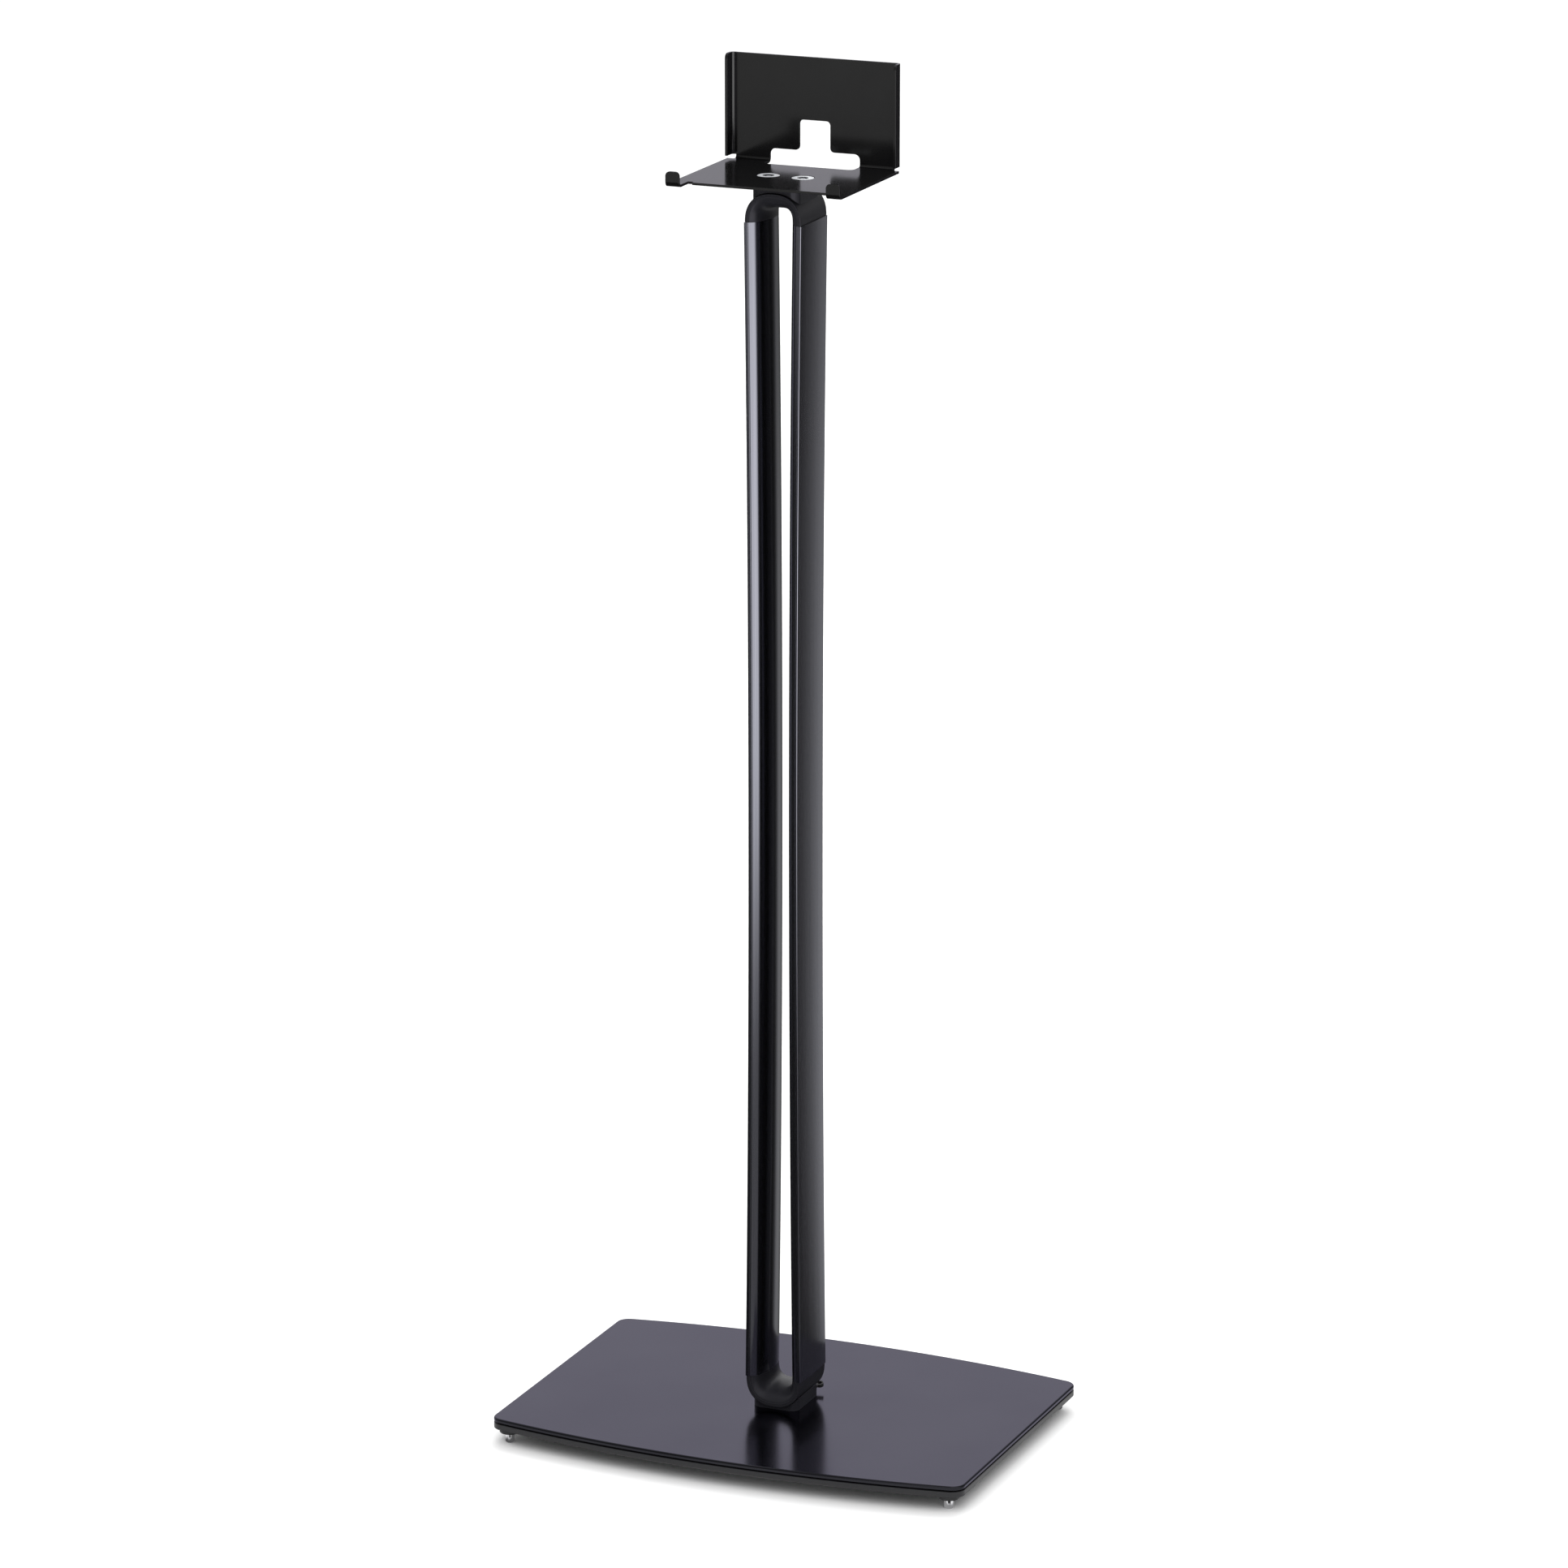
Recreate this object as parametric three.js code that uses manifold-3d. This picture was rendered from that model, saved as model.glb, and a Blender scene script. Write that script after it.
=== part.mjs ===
// Floor stand for a small loudspeaker: a two-layer base on four screw feet, a slim loop
// column of two bowed profiles between two arch caps, and a bent sheet bracket on top.
// Millimetres, +Z up, the front faces -Y, the column's axis is X = 0, Y = 0.
import * as THREE from "three";
import { mergeVertices } from "three/addons/utils/BufferGeometryUtils.js";
import Module from "manifold-3d";

const wasm = await Module();
wasm.setup();

// ---- driving dimensions ----
const GAP = 0.3; // clearance between pieces that fit together

// feet and base, from the floor up
const FOOT_HEIGHT = 6.2;
const FOOT_RADIUS = 2.8;
const STUD_RADIUS = 2.0;
const BOSS_HEIGHT = 3.0;
const BOSS_RADIUS = 6.2;
const BUSH_RADIUS = 3.6; // the boss's shank inside the lower plate
const LOWER_PLATE = 3.5;
const SPACER = 1.0;
const TOP_PLATE = 2.3;
const BASE_WIDTH = 300;
const BASE_SIDE = 191; // length of the straight side edges
const BASE_BULGE = 14.2; // how far the front and back edges curve out
const BASE_CORNER = 8;
const SPACER_INSET = 2.2; // depth of the dark groove between the two plates
const FOOT_IN_X = 9.8; // from a side edge to a foot's axis
const FOOT_IN_Y = 6.3; // from the end of a straight side to a foot's axis

// loop column
const NECK_LOW = 2.1; // lower neck under the loop's lowest line
const NECK_HIGH = 5.5; // upper neck over the loop's highest line
const LOOP_HEIGHT = 732.4;
const CAP_RISE = 17.4; // from a seam to the loop's end
const END_HALF = 17.7; // half width over the profiles at the seams
const MIDDLE_HALF = 15.4; // half width at mid height, where the profiles bow in
const HALF_DEPTH = 19.8;
const LAND = 2.2; // width of the flat front and rear lands
const LAND_STEP = 0.5; // how far the round inner side stands back from the lands
const CREST = 10; // thickness of a profile at its middle
const WALL = 1.7;
const CAP_INSET = 0.4; // the caps stand a little inside the profiles' faces
const CAP_SQUARE = 2.35; // exponent of the caps' outer curve: 2 is an ellipse
const CAP_INNER_SQUARE = 4.5; // the same for the crest line on the inside
const CAP_THICK_END = 10.5; // thickness of a cap at the loop's very end
const SPIGOT = 16; // length of the cap's tongue in a profile

// necks
const NECK_HALF_X = 14.5;
const NECK_HALF_Y = 17.5;
const NECK_CORNER = 5;

// bracket
const SHEET = 1.5;
const BEND = 1.5; // inside radius of the bends
const PLATE_HALF = 53.5;
const PLATE_FRONT = 38.3; // front edge, ahead of the column's axis
const BACK_OUT = 44.7; // rear face of the back panel, behind the axis
const BACK_HALF = 53.1; // half width over the side flanges
const BACK_HEIGHT = 61.6; // top of the back panel over the plate's top face
const FLANGE = 9;
const FLANGE_CORNER = 3;
const FLANGE_LIFT = 2; // gap between a flange's lower end and the plate
const RELIEF_HALF = 49.3; // half length of the bend at the back
const HOOK_OUT = 49.2; // front face of the hooks, ahead of the axis
const HOOK_WIDTH = 8.5;
const HOOK_HEIGHT = 7.5;
const HOOK_CORNER = 2.6;
const NOTCH = 3.4; // width of the relief notch beside a hook
const NOTCH_DEPTH = 2.4;
const SLOT_HALF = 28;
const SLOT_RISE = 7.1;
const SLOT_REACH = 9.5; // how far the slot runs into the plate
const SLOT_CORNER = 3.4;
const STEM_HALF = 9.6;
const STEM_RISE = 25;
const STEM_CORNER = 2.4;

// fixings
const SCREW_X = 10.65;
const SCREW_RADIUS = 3;
const HEAD_RADIUS = 6.5;
const HEAD_SINK = 0.15; // how far a head lies under the face around it
const SCREW_LENGTH = 20;
const SOCKET_RADIUS = 2.3;
const SOCKET_DEPTH = 2.2;

// cable ring behind the lower neck
const RING_RADIUS = 2.2;
const RING_HOLE = 1.4;
const RING_HEIGHT = 2.2;
const RING_X = 13;
const RING_OUT = 4.6; // its axis behind the neck's rear face
const RING_Z = 4.4;
const RING_ARM = 1.6; // height of the arm that holds the ring
const RING_TILT = 17; // the ring leans forward, in degrees

// ---- places that follow from them ----
const FOOT_X = BASE_WIDTH / 2 - FOOT_IN_X;
const FOOT_Y = BASE_SIDE / 2 - FOOT_IN_Y;
const BOSS_Z = FOOT_HEIGHT;
const LOWER_Z = BOSS_Z + BOSS_HEIGHT;
const SPACER_Z = LOWER_Z + LOWER_PLATE;
const TOP_Z = SPACER_Z + SPACER;
const BASE_Z = TOP_Z + TOP_PLATE;
const LOOP_Z = BASE_Z + NECK_LOW;
const LOW_SEAM = LOOP_Z + CAP_RISE;
const LOOP_TOP = LOOP_Z + LOOP_HEIGHT;
const HIGH_SEAM = LOOP_TOP - CAP_RISE;
const PLATE_BOTTOM = LOOP_TOP + NECK_HIGH;
const PLATE_TOP = PLATE_BOTTOM + SHEET;
const LOOP_MIDDLE = (LOW_SEAM + HIGH_SEAM) / 2;

// ---- materials ----
function material(colour, roughness, metalness) {
  return new THREE.MeshStandardMaterial({ color: colour, roughness, metalness });
}
const baseBlack = material(0x3a3940, 0.32, 0.25);
const plateBlack = material(0x26262a, 0.55, 0.3);
const grooveBlack = material(0x0e0e10, 0.8, 0);
const anodised = material(0x2f3036, 0.3, 0.85);
const capBlack = material(0x2a2a30, 0.5, 0.05);
const sheetBlack = material(0x2b2b2e, 0.35, 0.3);
const chrome = material(0xd2d4d8, 0.15, 1);
const zinc = material(0xc4c6c9, 0.3, 1);
const rubberBlack = material(0x1c1c1e, 0.75, 0);

// ---- solids ----
const group = new THREE.Group();

// Closed surface as a solid; a surface whose faces point inwards is turned round.
function solid(geometry) {
  const plain = geometry.clone();
  plain.deleteAttribute("normal");
  plain.deleteAttribute("uv");
  const merged = mergeVertices(plain, 1e-4);
  const vertProperties = merged.attributes.position.array;
  const triVerts = new Uint32Array(merged.index.array);
  const made = new wasm.Manifold(new wasm.Mesh({ numProp: 3, vertProperties, triVerts }));
  if (made.volume() > 0) return made;
  triVerts.reverse();
  return new wasm.Manifold(new wasm.Mesh({ numProp: 3, vertProperties, triVerts }));
}

function joined(solids) {
  return solids.reduce((sum, piece) => sum.add(piece));
}

function cut(body, cutters) {
  return cutters.reduce((rest, cutter) => rest.subtract(cutter), body);
}

function addPart(name, body, look) {
  const mesh = body.getMesh();
  const geometry = new THREE.BufferGeometry();
  geometry.setAttribute("position", new THREE.BufferAttribute(mesh.vertProperties, 3));
  geometry.setIndex(new THREE.BufferAttribute(mesh.triVerts, 1));
  const faceted = geometry.toNonIndexed();
  faceted.computeVertexNormals();
  const part = new THREE.Mesh(faceted, look);
  part.name = name;
  group.add(part);
}

// Skin over rings of points that all have the same count; flat2d(point) lays an end ring flat.
function loft(rings, flat2d) {
  const count = rings[0].length;
  const position = rings.flat().flatMap((p) => [p.x, p.y, p.z]);
  const index = [];
  for (let r = 0; r + 1 < rings.length; r++) {
    for (let i = 0; i < count; i++) {
      const a = r * count + i;
      const b = r * count + ((i + 1) % count);
      index.push(a, b, b + count, a, b + count, a + count);
    }
  }
  const faces = THREE.ShapeUtils.triangulateShape(rings[0].map(flat2d), []);
  const last = (rings.length - 1) * count;
  const clockwise = THREE.ShapeUtils.isClockWise(rings[0].map(flat2d));
  for (const [a, b, c] of faces) {
    if (clockwise) {
      index.push(a, b, c, last + a, last + c, last + b);
    } else {
      index.push(a, c, b, last + a, last + b, last + c);
    }
  }
  const geometry = new THREE.BufferGeometry();
  geometry.setAttribute("position", new THREE.Float32BufferAttribute(position, 3));
  geometry.setIndex(index);
  return solid(geometry);
}

const fromAbove = (p) => new THREE.Vector2(p.x, p.y);

// Upright prism of an outline of [x, y] pairs.
function upright(outline, bottom, top) {
  const ring = (z) => outline.map(([x, y]) => new THREE.Vector3(x, y, z));
  return loft([ring(bottom), ring(top)], fromAbove);
}

// Prism along X of an outline of [y, z] pairs.
function alongX(outline, left, right) {
  const ring = (x) => outline.map(([y, z]) => new THREE.Vector3(x, y, z));
  return loft([ring(left), ring(right)], (p) => new THREE.Vector2(p.y, p.z));
}

// Prism along Y of an outline of [x, z] pairs.
function alongY(outline, front, back) {
  const ring = (y) => outline.map(([x, z]) => new THREE.Vector3(x, y, z));
  return loft([ring(back), ring(front)], (p) => new THREE.Vector2(-p.x, p.z));
}

function turned(profile, x, y, segments) {
  const points = profile.map(([radius, z]) => new THREE.Vector2(radius, z));
  const geometry = new THREE.LatheGeometry(points, segments);
  geometry.rotateX(Math.PI / 2);
  geometry.translate(x, y, 0);
  return solid(geometry);
}

// Points of an arc about a centre, both ends included; angles in degrees.
function arc(cx, cy, radius, from, to, steps) {
  const points = [];
  for (let i = 0; i <= steps; i++) {
    const angle = THREE.MathUtils.degToRad(from + ((to - from) * i) / steps);
    points.push([cx + radius * Math.cos(angle), cy + radius * Math.sin(angle)]);
  }
  return points;
}

function roundedBox(x0, y0, x1, y1, radius, steps) {
  return [
    ...arc(x1 - radius, y1 - radius, radius, 0, 90, steps),
    ...arc(x0 + radius, y1 - radius, radius, 90, 180, steps),
    ...arc(x0 + radius, y0 + radius, radius, 180, 270, steps),
    ...arc(x1 - radius, y0 + radius, radius, 270, 360, steps),
  ];
}

function box(x0, y0, x1, y1) {
  return [
    [x0, y0],
    [x1, y0],
    [x1, y1],
    [x0, y1],
  ];
}

// ---- screw holes ----
// Countersunk hole for a screw whose head lies in a face; up is +1 for a head on top.
function screwSink(side, face, up) {
  const head = HEAD_RADIUS + GAP;
  const radius = SCREW_RADIUS + GAP;
  const profile = [
    [0, face + up],
    [head, face + up],
    [head, face - up * HEAD_SINK * 2],
    [radius, face - up * (HEAD_SINK * 2 + head - radius)],
    [radius, face - up * (SCREW_LENGTH + 1)],
    [0, face - up * (SCREW_LENGTH + 1)],
  ];
  return turned(profile, side * SCREW_X, 0, 24);
}

function sinksFromAbove() {
  return [-1, 1].map((side) => screwSink(side, PLATE_TOP, 1));
}

function sinksFromBelow() {
  return [-1, 1].map((side) => screwSink(side, LOWER_Z, -1));
}

// ---- base ----
// Straight sides, bowed front and back edges, rounded corners, all drawn in by an inset.
function baseOutline(inset) {
  const half = BASE_WIDTH / 2;
  const bowRadius = (half * half + BASE_BULGE * BASE_BULGE) / (2 * BASE_BULGE);
  const bowCentre = BASE_SIDE / 2 + BASE_BULGE - bowRadius;
  const outer = bowRadius - inset;
  const corner = BASE_CORNER - inset;
  const cornerX = half - BASE_CORNER;
  const cornerY = bowCentre + Math.sqrt((bowRadius - BASE_CORNER) ** 2 - cornerX * cornerX);
  const tilt = THREE.MathUtils.radToDeg(Math.atan2(cornerY - bowCentre, cornerX));
  const quarter = [
    ...arc(cornerX, cornerY, corner, 0, tilt, 7),
    ...arc(0, bowCentre, outer, tilt, 90, 12).slice(1),
  ];
  const mirrorX = quarter.map(([x, y]) => [-x, y]).reverse().slice(1);
  const rear = [...quarter, ...mirrorX];
  const front = rear.map(([x, y]) => [-x, -y]);
  return [...rear, ...front];
}

function basePlate(bottom, top, rounding) {
  const ring = (inset, z) => baseOutline(inset).map(([x, y]) => new THREE.Vector3(x, y, z));
  const rings = [
    ring(0.2, bottom),
    ring(0, bottom + 0.2),
    ...[0, 30, 60, 90].map((angle) => {
      const turn = THREE.MathUtils.degToRad(angle);
      return ring(rounding * (1 - Math.cos(turn)), top - rounding * (1 - Math.sin(turn)));
    }),
  ];
  return loft(rings, fromAbove);
}

const FEET = [
  ["front_left", -1, -1],
  ["front_right", 1, -1],
  ["back_left", -1, 1],
  ["back_right", 1, 1],
];

function footHoles(radius, bottom, top) {
  return FEET.map(([, sideX, sideY]) =>
    turned(
      [
        [0, bottom],
        [radius, bottom],
        [radius, top],
        [0, top],
      ],
      sideX * FOOT_X,
      sideY * FOOT_Y,
      24,
    ),
  );
}

function buildBase() {
  const holes = sinksFromBelow();
  addPart("base_top_plate", cut(basePlate(TOP_Z, BASE_Z, 0.7), holes), baseBlack);

  const spacer = upright(baseOutline(SPACER_INSET), SPACER_Z + GAP / 2, TOP_Z - GAP / 2);
  const studHoles = footHoles(STUD_RADIUS + 2 * GAP, SPACER_Z - 1, TOP_Z + 1);
  addPart("base_groove_spacer", cut(spacer, [...holes, ...studHoles]), grooveBlack);

  const bushHoles = footHoles(BUSH_RADIUS + GAP, LOWER_Z - 1, SPACER_Z + 1);
  const lower = basePlate(LOWER_Z, SPACER_Z, 0.3);
  addPart("base_lower_plate", cut(lower, [...holes, ...bushHoles]), plateBlack);
}

function buildFoot(name, x, y) {
  const bore = STUD_RADIUS + GAP;
  const bushTop = SPACER_Z - GAP;
  const boss = turned(
    [
      [bore, BOSS_Z],
      [BOSS_RADIUS - 0.5, BOSS_Z],
      [BOSS_RADIUS, BOSS_Z + 0.5],
      [BOSS_RADIUS, LOWER_Z - GAP],
      [BUSH_RADIUS, LOWER_Z - GAP],
      [BUSH_RADIUS, bushTop],
      [bore, bushTop],
      [bore, BOSS_Z],
    ],
    x,
    y,
    24,
  );
  addPart("foot_boss_" + name, boss, rubberBlack);

  const shoulder = BOSS_Z - GAP;
  const foot = turned(
    [
      [0, 0],
      [FOOT_RADIUS - 0.8, 0],
      [FOOT_RADIUS, 0.8],
      [FOOT_RADIUS, shoulder - 0.4],
      [FOOT_RADIUS - 0.4, shoulder],
      [STUD_RADIUS, shoulder],
      [STUD_RADIUS, bushTop - 0.5],
      [STUD_RADIUS - 0.5, bushTop],
      [0, bushTop],
    ],
    x,
    y,
    24,
  );
  const pinHole = upright(box(-0.8, -0.8, 0.8, 0.8), -FOOT_RADIUS - 1, FOOT_RADIUS + 1)
    .rotate([90, 0, 25])
    .translate([x, y, shoulder - 1.6]);
  addPart("screw_foot_" + name, cut(foot, [pinHole]), chrome);
}

// ---- loop column ----
// Half width of the loop at a height, drawn in along a shallow arc between the seams.
function halfWidth(z) {
  const reach = (z - LOOP_MIDDLE) / (HIGH_SEAM - LOOP_MIDDLE);
  return MIDDLE_HALF + (END_HALF - MIDDLE_HALF) * reach * reach;
}

// Section as [depth into the loop from the outer face, y] pairs: a flat strip with two
// narrow lands, and a half ellipse that swells towards the inside of the loop.
function profileSection(crest, halfDepth, edge) {
  const bulge = crest - LAND;
  const bulgeHalf = halfDepth - LAND_STEP;
  const points = [];
  points.push(...arc(edge, -halfDepth + edge, edge, 180, 270, 2));
  points.push(...arc(LAND - edge, -halfDepth + edge, edge, 270, 350, 2));
  for (let i = 0; i <= 20; i++) {
    const angle = Math.PI * (i / 20 - 0.5);
    points.push([LAND + bulge * Math.cos(angle), bulgeHalf * Math.sin(angle)]);
  }
  points.push(...arc(LAND - edge, halfDepth - edge, edge, 10, 90, 2));
  points.push(...arc(edge, halfDepth - edge, edge, 90, 180, 2));
  return points;
}

// Inside of a hollow profile, as the same kind of pairs.
function hollowSection(inset) {
  const reach = CREST - LAND - WALL - inset;
  const half = HALF_DEPTH - 2 * WALL - inset;
  const points = [[WALL + inset, -half]];
  for (let i = 0; i <= 16; i++) {
    const angle = Math.PI * (i / 16 - 0.5);
    points.push([LAND + reach * Math.cos(angle), half * Math.sin(angle)]);
  }
  points.push([WALL + inset, half]);
  return points;
}

// A section carried up one side of the loop.
function sideLoft(section, side, bottom, top, steps) {
  const rings = [];
  for (let i = 0; i <= steps; i++) {
    const z = bottom + ((top - bottom) * i) / steps;
    const outer = halfWidth(z);
    rings.push(section.map(([depth, y]) => new THREE.Vector3(side * (outer - depth), y, z)));
  }
  return loft(rings, fromAbove);
}

function buildProfile(name, side) {
  const shell = sideLoft(
    profileSection(CREST, HALF_DEPTH, 0.6),
    side,
    LOW_SEAM + GAP / 2,
    HIGH_SEAM - GAP / 2,
    14,
  );
  const hollow = sideLoft(hollowSection(0), side, LOW_SEAM - 1, HIGH_SEAM + 1, 14);
  addPart(name, cut(shell, [hollow]), anodised);
}

// Point of a squared-off arch as an [x, z] pair: angle 0 is its right end, 180 its left end.
function archPoint(angle, halfX, rise, square) {
  const cos = Math.cos(angle);
  const sin = Math.sin(angle);
  const power = 2 / square;
  return [Math.sign(cos) * halfX * Math.abs(cos) ** power, rise * Math.abs(sin) ** power];
}

function capOuter(angle, grow) {
  return archPoint(angle, END_HALF - CAP_INSET + grow, CAP_RISE + grow, CAP_SQUARE);
}

function capInner(angle) {
  return archPoint(angle, END_HALF - CREST, CAP_RISE - CAP_THICK_END, CAP_INNER_SQUARE);
}

// The arch, built over a seam at z = 0 and rising; it is turned over for the lower end.
function capArch() {
  const section = profileSection(1 + LAND, HALF_DEPTH - CAP_INSET, 0.6);
  const steps = 28;
  const rings = [];
  for (let i = 0; i <= steps; i++) {
    const angle = (Math.PI * i) / steps;
    const [ox, oz] = capOuter(angle, 0);
    const [ix, iz] = capInner(angle);
    const thick = Math.hypot(ix - ox, iz - oz);
    const ux = (ix - ox) / thick;
    const uz = (iz - oz) / thick;
    rings.push(
      section.map(([depth, y]) => {
        const along = depth <= LAND ? depth : LAND + (depth - LAND) * (thick - LAND);
        return new THREE.Vector3(ox + ux * along, y, oz + uz * along);
      }),
    );
  }
  return loft(rings, (p) => new THREE.Vector2(-p.x, p.y));
}

function capSpigot(side) {
  const section = hollowSection(GAP);
  const ring = (z, slope) =>
    section.map(
      ([depth, y]) => new THREE.Vector3(side * (END_HALF - slope - depth), y, z),
    );
  const drawIn = END_HALF - halfWidth(HIGH_SEAM - SPIGOT);
  return loft([ring(-SPIGOT, drawIn), ring(0.5, 0)], fromAbove);
}

function buildCaps() {
  const arch = joined([capArch(), capSpigot(-1), capSpigot(1)]);
  const upper = arch.translate([0, 0, HIGH_SEAM]);
  addPart("upper_cap", cut(upper, sinksFromAbove()), capBlack);

  const lower = arch.rotate([0, 180, 0]).translate([0, 0, LOW_SEAM]);
  addPart("lower_cap", cut(lower, sinksFromBelow()), capBlack);
}

// ---- necks ----
function neckBlock(bottom, top) {
  const outline = roundedBox(
    -NECK_HALF_X,
    -NECK_HALF_Y,
    NECK_HALF_X,
    NECK_HALF_Y,
    NECK_CORNER,
    6,
  );
  return upright(outline, bottom, top);
}

// The loop's end with clearance, as a bar along Y that hollows the neck's saddle.
function saddleCutter() {
  const outline = [];
  for (let i = 0; i <= 32; i++) {
    outline.push(capOuter((Math.PI * i) / 32, GAP));
  }
  return alongY(outline, -HALF_DEPTH - 5, HALF_DEPTH + 5);
}

function buildNecks() {
  const saddle = saddleCutter();
  const lowSaddle = saddle.rotate([0, 180, 0]).translate([0, 0, LOW_SEAM]);
  const low = neckBlock(BASE_Z + GAP / 2, LOW_SEAM - CAP_RISE * 0.42);
  addPart("lower_neck", cut(low, [lowSaddle, ...sinksFromBelow()]), capBlack);

  const highSaddle = saddle.translate([0, 0, HIGH_SEAM]);
  const high = neckBlock(HIGH_SEAM + CAP_RISE * 0.62, PLATE_BOTTOM - GAP / 2);
  addPart("upper_neck", cut(high, [highSaddle, ...sinksFromAbove()]), capBlack);
}

// ---- bracket ----
function bendStrip(cy, cz, from, to) {
  const outer = arc(cy, cz, BEND + SHEET, from, to, 6);
  const inner = arc(cy, cz, BEND, from, to, 6).reverse();
  return [...outer, ...inner];
}

function bracketFloor() {
  const tongue = HOOK_OUT - BEND - SHEET;
  const inner = PLATE_HALF - HOOK_WIDTH;
  const notch = inner - NOTCH;
  const rear = BACK_OUT - BEND - SHEET;
  const half = [
    [notch, -PLATE_FRONT],
    [notch, -PLATE_FRONT + NOTCH_DEPTH],
    [inner, -PLATE_FRONT + NOTCH_DEPTH],
    [inner, -tongue],
    [PLATE_HALF, -tongue],
    [PLATE_HALF, rear - 1.5],
    [RELIEF_HALF, rear - 1.5],
    [RELIEF_HALF, rear],
  ];
  const mirrored = half.map(([x, y]) => [-x, y]).reverse();
  return upright([...half, ...mirrored], PLATE_BOTTOM, PLATE_TOP);
}

function bracketBack() {
  const radius = BEND + SHEET;
  const rear = BACK_OUT - radius;
  const foot = PLATE_BOTTOM + radius;
  const top = PLATE_TOP + BACK_HEIGHT;
  const lift = PLATE_TOP + FLANGE_LIFT;
  const bend = alongX(bendStrip(rear, foot, -90, 0), -RELIEF_HALF, RELIEF_HALF);
  const side = BACK_HALF - radius;
  const panel = alongY(
    [
      [-RELIEF_HALF, foot],
      [RELIEF_HALF, foot],
      [RELIEF_HALF, lift],
      [side, lift],
      [side, top],
      [-side, top],
      [-side, lift],
      [-RELIEF_HALF, lift],
    ],
    BACK_OUT - SHEET,
    BACK_OUT,
  );
  return [bend, panel];
}

function bracketFlange(side) {
  const radius = BEND + SHEET;
  const top = PLATE_TOP + BACK_HEIGHT;
  const lift = PLATE_TOP + FLANGE_LIFT;
  const cx = BACK_HALF - radius;
  const cy = BACK_OUT - radius;
  const front = BACK_OUT - FLANGE;
  const corner = bendStrip(cx, cy, 0, 90).map(([x, y]) => [side * x, y]);
  const face = [
    [front, lift],
    [cy, lift],
    [cy, top],
    ...arc(front + FLANGE_CORNER, top - FLANGE_CORNER, FLANGE_CORNER, 90, 180, 6),
  ];
  const inside = side * (BACK_HALF - SHEET);
  const outside = side * BACK_HALF;
  return [
    upright(corner, lift, top),
    alongX(face, Math.min(inside, outside), Math.max(inside, outside)),
  ];
}

function bracketHook(side) {
  const radius = BEND + SHEET;
  const left = side < 0 ? -PLATE_HALF : PLATE_HALF - HOOK_WIDTH;
  const right = left + HOOK_WIDTH;
  const foot = PLATE_BOTTOM + radius;
  const top = PLATE_TOP + HOOK_HEIGHT;
  const bend = alongX(bendStrip(-HOOK_OUT + radius, foot, 180, 270), left, right);
  const tab = alongY(
    [
      [left, foot],
      [right, foot],
      ...arc(right - HOOK_CORNER, top - HOOK_CORNER, HOOK_CORNER, 0, 90, 6),
      ...arc(left + HOOK_CORNER, top - HOOK_CORNER, HOOK_CORNER, 90, 180, 6),
    ],
    -HOOK_OUT,
    -HOOK_OUT + SHEET,
  );
  return [bend, tab];
}

// Cable opening: a slot across the rear bend with a narrower stem up into the back panel.
function cableOpening() {
  const low = PLATE_BOTTOM - 2;
  const slotTop = PLATE_TOP + SLOT_RISE;
  const stemTop = PLATE_TOP + STEM_RISE;
  const r = STEM_CORNER;
  const right = [
    [SLOT_HALF, low],
    ...arc(SLOT_HALF - SLOT_CORNER, slotTop - SLOT_CORNER, SLOT_CORNER, 0, 90, 6),
    ...arc(STEM_HALF + r, slotTop + r, r, 270, 180, 4),
    ...arc(STEM_HALF - r, stemTop - r, r, 0, 90, 4),
  ];
  const left = right.map(([x, z]) => [-x, z]).reverse();
  const rear = BACK_OUT - BEND - SHEET;
  const upper = alongY([...right, ...left], rear, BACK_OUT + 2);
  const plan = roundedBox(-SLOT_HALF, rear - SLOT_REACH, SLOT_HALF, rear + 12, SLOT_CORNER, 6);
  const lower = upright(plan, low, PLATE_TOP + BEND);
  return [upper, lower];
}

function buildBracket() {
  const sheet = joined([
    bracketFloor(),
    ...bracketBack(),
    ...[-1, 1].flatMap(bracketFlange),
    ...[-1, 1].flatMap(bracketHook),
  ]);
  const openings = [...cableOpening(), ...sinksFromAbove()];
  addPart("speaker_bracket", cut(sheet, openings), sheetBlack);
}

// ---- fixings ----
// Countersunk screw with a six-sided socket; its head faces up (+1) or down (-1).
function buildScrew(name, side, face, up) {
  const body = turned(
    [
      [0, -SCREW_LENGTH],
      [SCREW_RADIUS - 0.6, -SCREW_LENGTH],
      [SCREW_RADIUS, -SCREW_LENGTH + 0.6],
      [SCREW_RADIUS, -(HEAD_RADIUS - SCREW_RADIUS) - 0.4],
      [HEAD_RADIUS, -0.4],
      [HEAD_RADIUS, -0.1],
      [HEAD_RADIUS - 0.1, 0],
      [0, 0],
    ],
    0,
    0,
    32,
  );
  const socket = upright(arc(0, 0, SOCKET_RADIUS, 0, 300, 5), -SOCKET_DEPTH, 1);
  const turnedOver = up > 0 ? body.subtract(socket) : body.subtract(socket).rotate([180, 0, 0]);
  addPart(name, turnedOver.translate([side * SCREW_X, 0, face - up * HEAD_SINK]), zinc);
}

function buildScrews() {
  buildScrew("bracket_screw_left", -1, PLATE_TOP, 1);
  buildScrew("bracket_screw_right", 1, PLATE_TOP, 1);
  buildScrew("column_bolt_left", -1, LOWER_Z, -1);
  buildScrew("column_bolt_right", 1, LOWER_Z, -1);
}

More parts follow.
